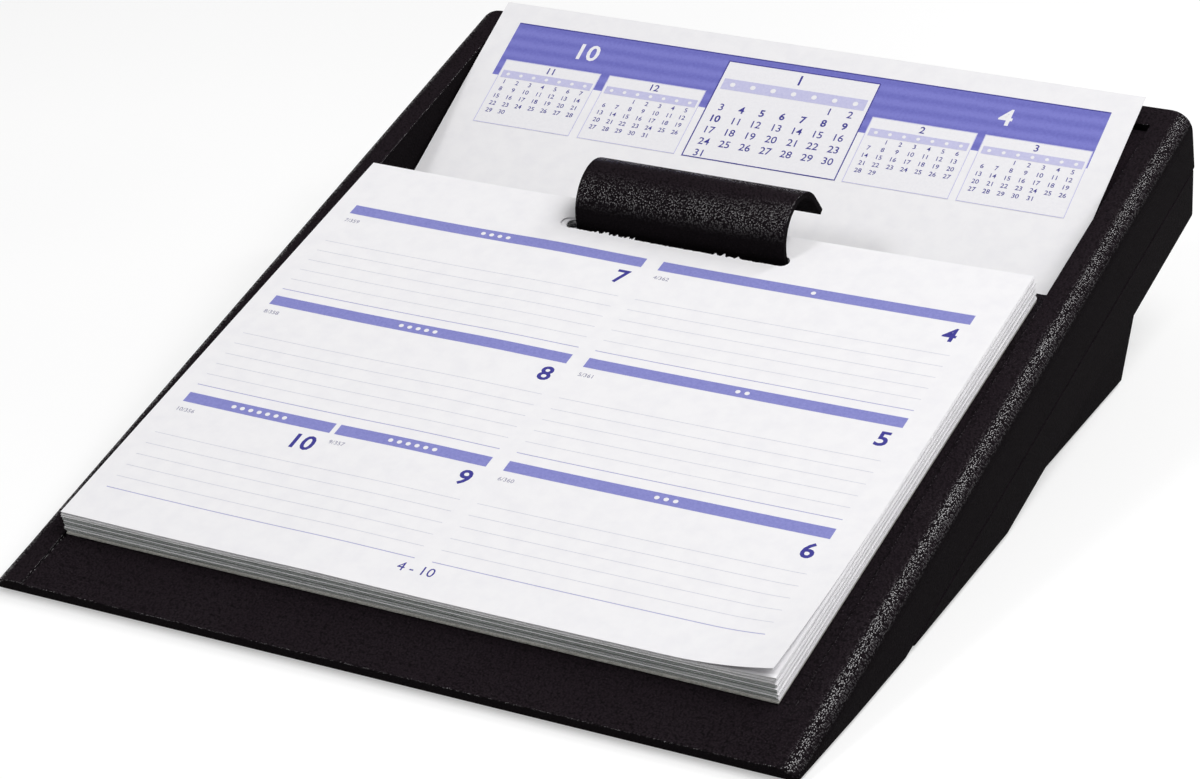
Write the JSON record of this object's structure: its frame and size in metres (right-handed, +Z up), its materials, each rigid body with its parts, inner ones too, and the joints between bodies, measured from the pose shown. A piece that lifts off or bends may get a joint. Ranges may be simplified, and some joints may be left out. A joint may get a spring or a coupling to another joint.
{
  "type": "desk weekly planner",
  "caption": "Sloped desk planner base with a pad of slotted weekly sheets hooked on a page arch and a rear well with a pocket that stores used sheets.",
  "frame": {"origin": "centre of the bounding box on the desk surface, where the feet stand", "axes": "+Z up, +Y from the low front edge to the high back, +X to the right of a person sitting in front"},
  "size_m": [0.1986, 0.2358, 0.0636],
  "materials": {
    "black_plastic": "fine-grained black moulded plastic with a soft sheen",
    "paper": "matte uncoated white paper printed in violet, wood-fibre sheet",
    "card": "grey backing card",
    "steel": "zinc-plated screws",
    "foot_rubber": "matte black rubber"
  },
  "bodies": {
    "base": {"top_cover": "black_plastic", "bottom_shell": "black_plastic", "page_arch": "black_plastic", "page_chute": "black_plastic", "next_week_sheet": "paper", "january_sheets": "paper", "february_sheets": "paper", "march_sheets": "paper", "april_sheets": "paper", "may_sheets": "paper", "june_sheets": "paper", "july_sheets": "paper", "august_sheets": "paper", "september_sheets": "paper", "october_sheets": "paper", "november_sheets": "paper", "december_sheets": "paper", "backing_card": "card", "front_left_cover_screw": "steel", "front_right_cover_screw": "steel", "rear_left_cover_screw": "steel", "rear_right_cover_screw": "steel", "left_arch_screw": "steel", "right_arch_screw": "steel", "front_left_foot": "foot_rubber", "front_right_foot": "foot_rubber", "rear_left_foot": "foot_rubber", "rear_right_foot": "foot_rubber"},
    "current_week": {"current_week_sheet": "paper"},
    "previous_week": {"previous_week_sheet": "paper"}
  },
  "joints": [
    {"name": "turn_current_week", "type": "hinge", "parent": "base", "child": "current_week", "pos_m": [0, 0.03765, 0.04601], "axis": [-1, 0, 0], "range_deg": [0, 160]},
    {"name": "pull_out_previous_week", "type": "hinge", "parent": "base", "child": "previous_week", "pos_m": [0, -0.12445, 0.42386], "axis": [1, 0, 0], "range_deg": [0, 11]}
  ]
}
